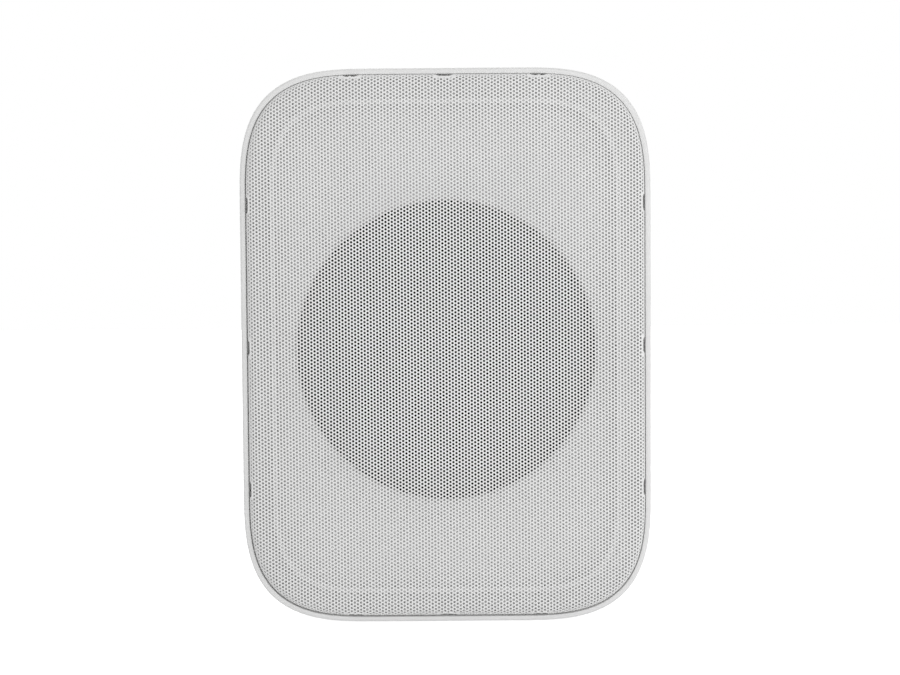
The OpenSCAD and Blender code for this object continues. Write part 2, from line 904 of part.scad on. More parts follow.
module driver_tags() {
    color("gold")
        at_driver()
            for (x = [-1, 1])
                translate([x * strip_w / 3.6 - tag_w / 2, strip_in_r + 1, strip_z + strip_t])
                    difference() {
                        cube([tag_w, strip_r - strip_in_r + 3, tag_t]);
                        translate([tag_w / 2, strip_r - strip_in_r + 1.4, -over])
                            cylinder(r = 0.8, h = tag_t + 2 * over, $fn = 24);
                    }
}

module driver_screws() {
    color("silver")
        at_driver()
            at_driver_screws()
                translate([0, 0, -basket_t])
                    pan_screw(small_screw_d / 2, basket_t + gasket_t + panel_t + driver_boss_h - 2,
                              small_head_r, small_head_h);
}

// Line transformer

module at_transformer() {
    translate([0, transformer_y, core_z])
        children();
}

module transformer_core() {
    color("slategray")
        at_transformer()
            translate([0, stack_t / 2, 0])
                rotate([90, 0, 0])
                    linear_extrude(stack_t)
                        difference() {
                            translate([-core_w / 2, 0])
                                square([core_w, core_h]);
                            for (x = [-1, 1])
                                translate([x * (core_leg + window_w) / 2, core_h / 2])
                                    square([window_w, core_h - 2 * core_yoke], center = true);
                        }
}

module bobbin_tube(x, y, low, high) {
    translate([-x, -y, low])
        cube([2 * x, 2 * y, high - low]);
}

module transformer_bobbin() {
    low = core_yoke + bobbin_clear;
    high = low + bobbin_h;
    x = core_leg / 2 + bobbin_clear;
    y = stack_t / 2 + bobbin_clear;
    color("ivory")
        at_transformer()
            difference() {
                union() {
                    bobbin_tube(x + bobbin_t, y + bobbin_t, low, high);
                    bobbin_tube(core_leg / 2 + bobbin_reach, stack_t / 2 + coil_bulge, low, low + bobbin_t);
                    bobbin_tube(core_leg / 2 + bobbin_reach, stack_t / 2 + coil_bulge, high - bobbin_t, high);
                }
                bobbin_tube(x, y, low - over, high + over);
            }
}

module transformer_winding() {
    low = core_yoke + bobbin_clear + bobbin_t;
    high = low + bobbin_h - 2 * bobbin_t;
    x = core_leg / 2 + bobbin_clear + bobbin_t;
    y = stack_t / 2 + bobbin_clear + bobbin_t;
    color("khaki")
        at_transformer()
            difference() {
                translate([0, 0, low])
                    linear_extrude(high - low)
                        rounded_square(core_leg + 2 * bobbin_reach - 1, stack_t + 2 * coil_bulge - 1.4, 3);
                bobbin_tube(x, y, low - over, high + over);
            }
}

module transformer_frame() {
    depth = stack_t - 1;
    half = core_w / 2;
    foot_low = foot_z - core_z;
    color("lightslategray")
        at_transformer()
            difference() {
                translate([0, depth / 2, 0])
                    rotate([90, 0, 0])
                        linear_extrude(depth)
                            polygon(concat(
                                [[-half, core_h], [half, core_h], [half, foot_low],
                                 [half + frame_t + foot_reach, foot_low],
                                 [half + frame_t + foot_reach, foot_low + frame_t],
                                 [half + frame_t, foot_low + frame_t], [half + frame_t, core_h + frame_t],
                                 [-half - frame_t, core_h + frame_t], [-half - frame_t, foot_low + frame_t],
                                 [-half - frame_t - foot_reach, foot_low + frame_t],
                                 [-half - frame_t - foot_reach, foot_low], [-half, foot_low]]));
                for (x = [-1, 1])
                    translate([x * foot_hole_x, 0, foot_low - over])
                        cylinder(r = small_screw_d / 2 + shank_clear, h = frame_t + 2 * over);
            }
}

module transformer_screws() {
    color("silver")
        at_foot_screws()
            translate([0, 0, foot_z + frame_t])
                rotate([180, 0, 0])
                    pan_screw(small_screw_d / 2, foot_z + frame_t - foot_floor_z - 0.5, small_head_r, small_head_h);
}

// Terminal block, its seat at zero and its wire side towards the wall

module at_block() {
    translate([0, -recess_drop, recess_depth])
        children();
}

module at_poles() {
    for (i = [0:poles - 1])
        translate([(i - (poles - 1) / 2) * pole_pitch, 0, 0])
            children();
}

module terminal_block() {
    color("darkgreen")
        at_block()
            difference() {
                union() {
                    translate([-block_w / 2, -block_h / 2, -block_depth])
                        cube([block_w, block_h, block_depth]);
                    translate([-block_flange_w / 2, -block_h / 2, -block_flange_t])
                        cube([block_flange_w, block_h, block_flange_t]);
                    translate([-block_inner_w / 2, -block_inner_depth / 2, -over])
                        cube([block_inner_w, block_inner_depth, recess_wall + block_inner_h + over]);
                }
                at_poles() {
                    translate([0, clamp_shift, 0])
                        rod(clamp_r + 0.15, -block_depth - over, -block_depth + clamp_depth);
                    translate([0, -block_h / 2 - over, -block_depth / 2])
                        rotate([-90, 0, 0])
                            cylinder(r = wire_hole_r, h = block_h * 0.6 + over);
                    translate([-tag_w / 2 - tag_clear, -tag_t / 2 - tag_clear, recess_wall + block_inner_h - tag_seat])
                        cube([tag_w + 2 * tag_clear, tag_t + 2 * tag_clear, tag_seat + over]);
                }
                for (x = [-1, 1])
                    translate([x * block_hole_x, 0, 0])
                        rod(block_screw_r + shank_clear, -block_flange_t - over, over);
            }
}

module clamp_screws() {
    color("silver")
        at_block()
            at_poles()
                translate([0, clamp_shift, 0])
                    difference() {
                        rod(clamp_r, -block_depth + 1, -block_depth + clamp_depth);
                        translate([-clamp_r, -0.35, -block_depth])
                            cube([2 * clamp_r, 0.7, 2]);
                    }
}

module block_tags() {
    top = recess_wall + block_inner_h;
    color("gold")
        at_block()
            at_poles()
                difference() {
                    translate([-tag_w / 2, -tag_t / 2, top - tag_seat])
                        cube([tag_w, tag_t, tag_l + tag_seat]);
                    translate([0, -tag_t, top + tag_l - 2])
                        rotate([-90, 0, 0])
                            cylinder(r = 0.8, h = 2 * tag_t, $fn = 24);
                }
}

module block_screws() {
    color("silver")
        at_block_screws()
            translate([0, 0, recess_depth - block_flange_t])
                pan_screw(block_screw_r, block_flange_t + recess_wall + block_boss_h - 1.5, 2.7, 1.8);
}

// Internal leads

// From the block's tags round the magnet to the transformer's lower side
module line_leads() {
    tag_z = recess_depth + recess_wall + block_inner_h + tag_l;
    coil_y = transformer_y - stack_t / 2 - coil_bulge + 0.7 - lead_gap;
    lead_y = -recess_drop + tag_t / 2 + lead_d / 2 + lead_gap;
    color("firebrick")
        for (i = [0:poles - 1])
            let (side = i < poles / 2 ? -1 : 1,
                 k = i < poles / 2 ? i : poles - 1 - i,
                 x = (i - (poles - 1) / 2) * pole_pitch,
                 out = side * (56 - 3 * k))
            lead([[x, lead_y, tag_z - 5], [x, lead_y, tag_z - 1.5], [x, lead_y + 0.5, tag_z + 1.5],
                  [x + side * 4, lead_y + 8, tag_z + 4],
                  [out - side * 8, -44, 28 - 3 * k], [out, -10, 14], [out, 24, 14],
                  [out - side * 14, 52, 16 + 5 * k], [side * (9 - 5 * k), coil_y - 7, 20 + 6 * k],
                  [side * (9 - 5 * k), coil_y, 20 + 6 * k]]);
}

// From the transformer up to the driver's tags
module driver_leads() {
    coil_y = transformer_y - stack_t / 2 - coil_bulge + 0.7 - lead_gap;
    end_y = driver_y + strip_r + 1.6;
    end_z = flange_z + strip_z + strip_t - lead_gap;
    color("firebrick")
        for (x = [-1, 1])
            let (tag_x = x * strip_w / 3.6)
            lead([[x * 6, coil_y, 31], [x * 6, coil_y - 4, 32], [x * 8, coil_y - 6, 42],
                  [tag_x, end_y, end_z - 12], [tag_x, end_y, end_z]]);
}

from_wall() rear_cabinet();
from_wall() front_baffle();
from_wall() grille();
from_wall() cabinet_seal();
from_wall() cabinet_screws();
from_wall() driver_gasket();
from_wall() basket();
from_wall() surround();
from_wall() cone();
from_wall() whizzer_cone();
from_wall() dust_cap();
from_wall() coil_former();
from_wall() coil_winding();
from_wall() spider();
from_wall() top_plate();
from_wall() ring_magnet();
from_wall() yoke();
from_wall() driver_terminal();
from_wall() driver_tags();
from_wall() driver_screws();
from_wall() transformer_core();
from_wall() transformer_bobbin();
from_wall() transformer_winding();
from_wall() transformer_frame();
from_wall() transformer_screws();
from_wall() terminal_block();
from_wall() clamp_screws();
from_wall() block_tags();
from_wall() block_screws();
from_wall() line_leads();
from_wall() driver_leads();
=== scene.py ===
import math
import bpy
from mathutils import Matrix, Vector


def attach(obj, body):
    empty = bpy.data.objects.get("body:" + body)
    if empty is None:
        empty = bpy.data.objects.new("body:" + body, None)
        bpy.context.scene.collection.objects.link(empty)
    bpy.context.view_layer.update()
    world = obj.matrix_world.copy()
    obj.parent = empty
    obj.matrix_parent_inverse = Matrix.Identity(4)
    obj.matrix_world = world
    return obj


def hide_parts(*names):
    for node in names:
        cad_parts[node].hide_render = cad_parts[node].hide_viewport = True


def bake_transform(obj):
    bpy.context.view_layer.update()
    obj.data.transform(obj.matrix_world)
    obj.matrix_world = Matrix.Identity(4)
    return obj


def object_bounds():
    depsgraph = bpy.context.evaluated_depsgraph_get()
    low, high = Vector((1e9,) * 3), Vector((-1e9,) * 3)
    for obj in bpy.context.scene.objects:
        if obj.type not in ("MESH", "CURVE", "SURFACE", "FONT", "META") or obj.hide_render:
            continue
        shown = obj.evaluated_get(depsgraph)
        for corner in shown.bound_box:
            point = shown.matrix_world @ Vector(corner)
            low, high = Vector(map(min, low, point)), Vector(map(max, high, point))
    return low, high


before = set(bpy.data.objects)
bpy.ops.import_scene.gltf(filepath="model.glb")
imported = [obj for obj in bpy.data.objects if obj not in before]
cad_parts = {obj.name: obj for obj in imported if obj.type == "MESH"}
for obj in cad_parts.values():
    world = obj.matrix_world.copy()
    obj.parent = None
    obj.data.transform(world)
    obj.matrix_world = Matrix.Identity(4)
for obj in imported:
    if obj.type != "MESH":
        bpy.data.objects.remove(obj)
cad_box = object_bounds()

MM = 0.001

# Sizes of the cabinet, in millimetres. Depth counts out of the wall, towards -Y
WIDTH = 200
HEIGHT = 270
FACE = 105
REACH = 64
FULLNESS = 3
JOINT = 90
SIDE = 3
RIM_FACE = 102
RIM_LEAN = 1.1
RIM_ROUND = 0.72
RIM_WIDTH = 3.4
PANEL = 95
PANEL_BACK = 92
RIB_INSET = 15.4
RIB_WIDTH = 2.4
RIB_TOP = 103.8
OPENING = 73
OPENING_BEVEL = 1.5
DRIVER_UP = -2

# Sizes of the grille
SHEET = 0.4
ROLL = 4
GRILLE_INSET = 3.8
GRILLE_SHIFT = (0.1, 0.25)
FLANGE_END = 95.4
PITCH = 1.75
HOLE = 1.15
TAB_WIDTH = 7.2
NOTCH = 4.15
TAB_SET = 1
TAB_PITCH_X = 45.3
TAB_PITCH_Y = 69
# a hole closer to a notch than this is closed
NOTCH_BORDER = 0.6
# width of the square that the flat sheet's UV map covers
UV_SPAN = 0.3

# Sectors that the surround and the spider, the rolls between the cabinet and the cone, are each cut into
SECTORS = 24


# Selecting and finishing
def only(piece):
    bpy.ops.object.select_all(action="DESELECT")
    piece.select_set(True)
    bpy.context.view_layer.objects.active = piece


def edit(piece, kind="FACE"):
    only(piece)
    bpy.ops.object.mode_set(mode="EDIT")
    bpy.ops.mesh.select_mode(type=kind)


def leave_edit():
    bpy.ops.object.mode_set(mode="OBJECT")


def pick_faces(piece, wanted):
    """Selects the faces whose middle and normal pass a test."""
    edit(piece)
    bpy.ops.mesh.select_all(action="DESELECT")
    leave_edit()
    for face in piece.data.polygons:
        face.select = wanted(face.center, face.normal)
    bpy.ops.object.mode_set(mode="EDIT")


def pick_edges(piece, wanted):
    """Selects the edges whose two ends pass a test."""
    edit(piece, "EDGE")
    bpy.ops.mesh.select_all(action="DESELECT")
    leave_edit()
    points = piece.data.vertices
    for edge in piece.data.edges:
        edge.select = wanted(points[edge.vertices[0]].co, points[edge.vertices[1]].co)
    bpy.ops.object.mode_set(mode="EDIT")


def apply_modifier(piece, kind, **values):
    only(piece)
    modifier = piece.modifiers.new(kind.title(), kind)
    for key, value in values.items():
        setattr(modifier, key, value)
    bpy.ops.object.modifier_apply(modifier=modifier.name)


def settle(piece):
    only(piece)
    bpy.ops.object.transform_apply(location=True, rotation=True, scale=True)


def face_outwards(piece):
    edit(piece)
    bpy.ops.mesh.select_all(action="SELECT")
    bpy.ops.mesh.remove_doubles(threshold=0.002 * MM)
    bpy.ops.mesh.normals_make_consistent(inside=False)
    leave_edit()


def smooth(piece, degrees=35):
    only(piece)
    bpy.ops.object.shade_smooth_by_angle(angle=math.radians(degrees))


def hand_over(piece, name, finish, nodes, body="cabinet"):
    """Names a finished piece, gives it its finish and lets it stand for its nodes."""
    piece.name = name
    piece.data.name = name
    piece.data.materials.clear()
    piece.data.materials.append(finish)
    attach(piece, body)
    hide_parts(*nodes)
    return piece


def join(parts):
    bpy.ops.object.select_all(action="DESELECT")
    for part in parts:
        part.select_set(True)
    bpy.context.view_layer.objects.active = parts[0]
    if len(parts) > 1:
        bpy.ops.object.join()
    return parts[0]


def copy_at(piece, place):
    """A copy with its own mesh, moved by a matrix."""
    other = piece.copy()
    other.data = piece.data.copy()
    bpy.context.collection.objects.link(other)
    other.matrix_world = place @ piece.matrix_world
    settle(other)
    return other


# Shader groups
def new_group(name, inputs, outputs):
    tree = bpy.data.node_groups.new(name, "ShaderNodeTree")
    for label, kind, value in inputs:
        socket = tree.interface.new_socket(name=label, in_out="INPUT", socket_type=kind)
        if value is not None:
            socket.default_value = value
    for label, kind in outputs:
        tree.interface.new_socket(name=label, in_out="OUTPUT", socket_type=kind)
    return tree, tree.nodes.new("NodeGroupInput"), tree.nodes.new("NodeGroupOutput")


def node(tree, kind, **values):
    made = tree.nodes.new("ShaderNode" + kind)
    for key, value in values.items():
        made.inputs[key].default_value = value
    return made


def ramp(tree, source, low, high, to_low=0.0, to_high=1.0):
    made = tree.nodes.new("ShaderNodeMapRange")
    made.inputs["From Min"].default_value = low
    made.inputs["From Max"].default_value = high
    made.inputs["To Min"].default_value = to_low
    made.inputs["To Max"].default_value = to_high
    tree.links.new(source, made.inputs["Value"])
    return made.outputs["Result"]


def sums(tree, operation, first, second):
    made = tree.nodes.new("ShaderNodeMath")
    made.operation = operation
    for socket, value in zip(made.inputs, (first, second)):
        if isinstance(value, (int, float)):
            socket.default_value = value
        else:
            tree.links.new(value, socket)
    return made.outputs[0]


def grain_group():
    """Fine grain of a surface: a height for its bumps and a slow change of tone."""
    tree, entry, leave = new_group(
        "surface_grain",
        [("Vector", "NodeSocketVector", None), ("Grain", "NodeSocketFloat", 2500.0),
         ("Cloud", "NodeSocketFloat", 25.0)],
        [("Height", "NodeSocketFloat"), ("Tone", "NodeSocketFloat")])
    fine = node(tree, "TexNoise", Detail=3.0, Roughness=0.6)
    slow = node(tree, "TexNoise", Detail=4.0, Roughness=0.55)
    for texture, scale in ((fine, "Grain"), (slow, "Cloud")):
        tree.links.new(entry.outputs["Vector"], texture.inputs["Vector"])
        tree.links.new(entry.outputs[scale], texture.inputs["Scale"])
    tree.links.new(fine.outputs["Fac"], leave.inputs["Height"])
    tree.links.new(ramp(tree, slow.outputs["Fac"], 0.3, 0.7), leave.inputs["Tone"])
    return tree


def wear_group():
    """Where edges are rubbed and hollows keep dust, from how sharply the surface turns."""
    tree, entry, leave = new_group(
        "edge_and_hollow",
        [("Vector", "NodeSocketVector", None), ("Patches", "NodeSocketFloat", 300.0)],
        [("Edge", "NodeSocketFloat"), ("Hollow", "NodeSocketFloat")])
    turn = node(tree, "NewGeometry")
    patch = node(tree, "TexNoise", Detail=5.0, Roughness=0.7)
    tree.links.new(entry.outputs["Vector"], patch.inputs["Vector"])
    tree.links.new(entry.outputs["Patches"], patch.inputs["Scale"])
    broken = ramp(tree, patch.outputs["Fac"], 0.4, 0.62)
    edge = sums(tree, "MULTIPLY", ramp(tree, turn.outputs["Pointiness"], 0.53, 0.62), broken)
    tree.links.new(edge, leave.inputs["Edge"])
    tree.links.new(ramp(tree, turn.outputs["Pointiness"], 0.48, 0.40), leave.inputs["Hollow"])
    return tree


GRAIN = grain_group()
WEAR = wear_group()
WORN_PATCHES = 300.0
ROUGH_SPREAD = 0.12


def finish_of(name, colour, roughness, grain=2500.0, cloud=25.0, bump=0.02, tone=0.05, metallic=0.0,
              wear=None, wear_mix=0.5, dust=0.15, stretch=(1, 1, 1)):
    """A finish with grain, slow tone, rubbed edges and dusty hollows."""
    material = bpy.data.materials.new(name)
    material.use_nodes = True
    tree = material.node_tree
    shader = tree.nodes["Principled BSDF"]
    place = node(tree, "TexCoord")
    mapping = tree.nodes.new("ShaderNodeMapping")
    mapping.inputs["Scale"].default_value = stretch
    tree.links.new(place.outputs["Object"], mapping.inputs["Vector"])
    surface = tree.nodes.new("ShaderNodeGroup")
    surface.node_tree = GRAIN
    surface.inputs["Grain"].default_value = grain
    surface.inputs["Cloud"].default_value = cloud
    turns = tree.nodes.new("ShaderNodeGroup")
    turns.node_tree = WEAR
    turns.inputs["Patches"].default_value = WORN_PATCHES
    tree.links.new(mapping.outputs["Vector"], surface.inputs["Vector"])
    tree.links.new(place.outputs["Object"], turns.inputs["Vector"])

    def blended(source, first, second):
        mix = tree.nodes.new("ShaderNodeMix")
        mix.data_type = "RGBA"
        tree.links.new(source, mix.inputs["Factor"])
        for socket, value in ((mix.inputs["A"], first), (mix.inputs["B"], second)):
            if isinstance(value, tuple):
                socket.default_value = (*value, 1.0)
            else:
                tree.links.new(value, socket)
        return mix.outputs["Result"]

    darker = tuple(c * (1 - tone) for c in colour)
    shade = blended(surface.outputs["Tone"], colour, darker)
    dusty = tuple(c * 0.72 + 0.1 * d for c, d in zip(colour, (0.5, 0.46, 0.4)))
    shade = blended(sums(tree, "MULTIPLY", turns.outputs["Hollow"], dust), shade, dusty)
    bare = wear or tuple(min(1.0, c * 1.12 + 0.01) for c in colour)
    shade = blended(sums(tree, "MULTIPLY", turns.outputs["Edge"], wear_mix), shade, bare)
    tree.links.new(shade, shader.inputs["Base Color"])
    spread = ramp(tree, surface.outputs["Tone"], 0.0, 1.0, roughness - ROUGH_SPREAD / 2,
                  roughness + ROUGH_SPREAD / 2)
    tree.links.new(spread, shader.inputs["Roughness"])
    lift = tree.nodes.new("ShaderNodeBump")
    lift.inputs["Strength"].default_value = 0.6
    lift.inputs["Distance"].default_value = bump * MM
    tree.links.new(surface.outputs["Height"], lift.inputs["Height"])
    tree.links.new(lift.outputs["Normal"], shader.inputs["Normal"])
    shader.inputs["Metallic"].default_value = metallic
    return material


# Camera, in the place that the photograph's outline, gap and opening give
def set_camera():
    azimuth = math.radians(0.2)
    elevation = math.radians(3.2)
    roll = math.radians(-0.45)
    distance = 1.0
    towards = Vector((math.sin(azimuth) * math.cos(elevation), -math.cos(azimuth) * math.cos(elevation),
                      math.sin(elevation)))
    bpy.ops.object.camera_add()
    camera = bpy.context.object
    camera.name = "photo_camera"
    camera.matrix_world = (Matrix.Translation(Vector((0, -FACE * MM, 0)) + towards * distance)
                           @ Matrix.Rotation(azimuth, 4, "Z")
                           @ Matrix.Rotation(math.pi / 2 - elevation, 4, "X")
                           @ Matrix.Rotation(roll, 4, "Z"))
    camera.data.sensor_width = 36
    camera.data.lens = 2071 / 900 * 36
    camera.data.shift_x = (450 - 446.1) / 900
    camera.data.shift_y = (347.3 - 337.5) / 900
    camera.data.clip_start = 0.05
    bpy.context.scene.camera = camera


set_camera()


# Studio: pale floor, white surroundings and three soft boxes
def set_studio():
    scene = bpy.context.scene
    scene.view_settings.view_transform = "Standard"
    world = bpy.data.worlds.new("studio_white")
    scene.world = world
    world.use_nodes = True
    tree = world.node_tree
    back = tree.nodes["Background"]
    back.inputs["Color"].default_value = (1, 1, 1, 1)
    path = node(tree, "LightPath")
    seen = sums(tree, "MAXIMUM", path.outputs["Is Camera Ray"], path.outputs["Is Transmission Ray"])
    seen = sums(tree, "MAXIMUM", seen, path.outputs["Is Glossy Ray"])
    tree.links.new(ramp(tree, seen, 0.0, 1.0, 0.6, 1.0), back.inputs["Strength"])
    # each soft box aims at the speaker, and stands clear above the floor
    for name, place, size, power in (
            ("box_front", (0.4, -1.8, 0.35), 0.9, 4.3),
            ("box_right", (0.8, -0.8, 0.1), 0.4, 1.4),
            ("box_top", (0.3, -0.7, 1.4), 1.0, 0.2)):
        data = bpy.data.lights.new(name, "AREA")
        data.shape = "SQUARE"
        data.size = size
        data.energy = power
        lamp = bpy.data.objects.new(name, data)
        scene.collection.objects.link(lamp)
        lamp.location = place
        aim = Vector((0, -0.05, 0)) - Vector(place)
        lamp.rotation_euler = aim.to_track_quat("-Z", "Y").to_euler()
    bpy.ops.object.select_all(action="DESELECT")
    bpy.ops.mesh.primitive_plane_add(size=6, location=(0, 0, cad_box[0].z - 0.0003))
    floor = bpy.context.object
    floor.name = "studio_floor"
    material = bpy.data.materials.new("studio_floor_paint")
    material.use_nodes = True
    tree = material.node_tree
    shader = tree.nodes["Principled BSDF"]
    shader.inputs["Roughness"].default_value = 0.9
    shader.inputs["Base Color"].default_value = (0.82, 0.82, 0.82, 1)
    path = node(tree, "LightPath")
    seen = sums(tree, "MAXIMUM", path.outputs["Is Camera Ray"], path.outputs["Is Glossy Ray"])
    shader.inputs["Emission Color"].default_value = (1, 1, 1, 1)
    tree.links.new(sums(tree, "MULTIPLY", seen, 0.9), shader.inputs["Emission Strength"])
    floor.data.materials.append(material)


set_studio()

# Finishes
WHITE_MOULDING = finish_of("white_moulding", (0.9, 0.9, 0.897), 0.42, grain=2600, bump=0.03, tone=0.03,
                           dust=0.25, wear_mix=0.25)
POWDER_COAT = finish_of("white_powder_coat", (0.96, 0.96, 0.957), 0.48, grain=1500, bump=0.025, tone=0.02,
                        dust=0.2, wear_mix=0.2)
BLACK_PAINT = finish_of("black_basket_paint", (0.018, 0.018, 0.02), 0.38, grain=1400, bump=0.03, tone=0.2,
                        wear=(0.25, 0.25, 0.26), wear_mix=0.3)
SURROUND_RUBBER = finish_of("surround_rubber", (0.015, 0.015, 0.015), 0.6, grain=900, bump=0.05, tone=0.25,
                            dust=0.4)
BLACK_PAPER = finish_of("black_paper", (0.022, 0.02, 0.019), 0.85, grain=700, bump=0.12, tone=0.35, dust=0.3)
FORMER_PAPER = finish_of("former_paper", (0.42, 0.26, 0.12), 0.7, grain=900, bump=0.03, tone=0.15)
COPPER_WIRE = finish_of("copper_wire", (0.72, 0.30, 0.14), 0.3, grain=2600, bump=0.06, tone=0.15,
                        metallic=0.9,
                        stretch=(0.05, 3.2, 0.05))
SPIDER_CLOTH = finish_of("spider_cloth", (0.55, 0.37, 0.14), 0.85, grain=1700, bump=0.12, tone=0.2)
ZINC_STEEL = finish_of("zinc_steel", (0.62, 0.62, 0.60), 0.34, grain=600, cloud=90, bump=0.01, tone=0.12,
                       metallic=1.0, wear=(0.4, 0.38, 0.34))
ZINC_SCREW = finish_of("zinc_screw", (0.66, 0.66, 0.63), 0.28, grain=900, cloud=200, bump=0.01, tone=0.15,
                       metallic=1.0, wear=(0.36, 0.35, 0.33))
BLACK_SCREW = finish_of("black_screw", (0.03, 0.03, 0.033), 0.35, grain=900, cloud=200, bump=0.01, tone=0.3,
                        metallic=0.6, wear=(0.4, 0.4, 0.4), wear_mix=0.6)
FERRITE = finish_of("ferrite", (0.045, 0.045, 0.05), 0.5, grain=500, bump=0.05, tone=0.3,
                    wear=(0.13, 0.13, 0.14))
PHENOLIC = finish_of("phenolic_board", (0.20, 0.09, 0.035), 0.45, grain=800, bump=0.01, tone=0.25)
BRASS = finish_of("tinned_brass", (0.72, 0.68, 0.55), 0.3, grain=700, cloud=150, bump=0.01, tone=0.15,
                  metallic=1.0)
LAMINATION = finish_of("lamination_steel", (0.16, 0.15, 0.145), 0.45, grain=400, bump=0.12, tone=0.35,
                       metallic=0.7, stretch=(0.15, 0.15, 9.0))
NYLON = finish_of("bobbin_nylon", (0.74, 0.72, 0.66), 0.4, grain=1800, bump=0.02, tone=0.05)
TAPE = finish_of("winding_tape", (0.72, 0.55, 0.10), 0.25, grain=500, bump=0.05, tone=0.12,
                 stretch=(0.3, 0.3, 2.0))
BLOCK = finish_of("block_plastic", (0.035, 0.20, 0.085), 0.38, grain=2200, bump=0.02, tone=0.12)
LEAD_SLEEVE = finish_of("lead_sleeve", (0.42, 0.025, 0.02), 0.45, grain=1500, bump=0.01, tone=0.15)
FOAM = finish_of("foam_rubber", (0.03, 0.03, 0.032), 0.9, grain=900, bump=0.3, tone=0.4)


# The rounded outline of the cabinet, drawn in by an inset
def outline(inset, steps=24):
    points = []
    a = WIDTH / 2 - REACH
    b = HEIGHT / 2 - REACH
    reach = REACH - inset
    for quarter in range(4):
        for i in range(steps + 1):
            angle = math.pi / 2 * i / steps
            u = reach * abs(math.cos(angle)) ** (2 / FULLNESS)
            v = reach * abs(math.sin(angle)) ** (2 / FULLNESS)
            points.append([(a + u, b + v), (-a - v, b + u), (-a - u, -b - v), (a + v, -b - u)][quarter])
        # points along the straight that follows, close enough to make the round opening round
        x, z = points[-1]
        run = b if quarter % 2 else a
        count = round(run / 3)
        for i in range(1, count):
            along = 2 * run * i / count
            points.append([(x - along, z), (x, z - along), (x + along, z), (x, z + along)][quarter])
    return points


def inset_of(x, z):
    """How far a point lies inside the outline."""
    across = max(abs(x) - WIDTH / 2 + REACH, 0)
    up = max(abs(z) - HEIGHT / 2 + REACH, 0)
    return REACH - (across ** FULLNESS + up ** FULLNESS) ** (1 / FULLNESS)


def sweep(rings):
    """A ring of edges on the outline, extruded through rings of points with a depth."""
    count = len(rings[0][0])
    bpy.ops.object.select_all(action="DESELECT")
    bpy.ops.mesh.primitive_circle_add(vertices=count, radius=0.1, rotation=(math.pi / 2, 0, 0))
    piece = bpy.context.object
    settle(piece)
    order = list(range(count))
    for number, (points, depth) in enumerate(rings):
        if number:
            bpy.ops.object.mode_set(mode="EDIT")
            bpy.ops.mesh.select_mode(type="EDGE")
            bpy.ops.mesh.extrude_region_move()
            leave_edit()
            # each new point starts on the old one it grew from
            found = {tuple(round(c, 7) for c in v.co): v.index for v in piece.data.vertices[-count:]}
            order = [found[tuple(round(c, 7) for c in piece.data.vertices[i].co)] for i in order]
        for index, (x, z) in zip(order, points):
            piece.data.vertices[index].co = (x * MM, -depth * MM, z * MM)
    return piece


def round_ring(radius):
    """Points on a circle about the driver, each in line with a point of the outline."""
    points = []
    for x, z in outline(RIB_INSET):
        angle = math.atan2(z - DRIVER_UP, x)
        points.append((radius * math.cos(angle), DRIVER_UP + radius * math.sin(angle)))
    return points


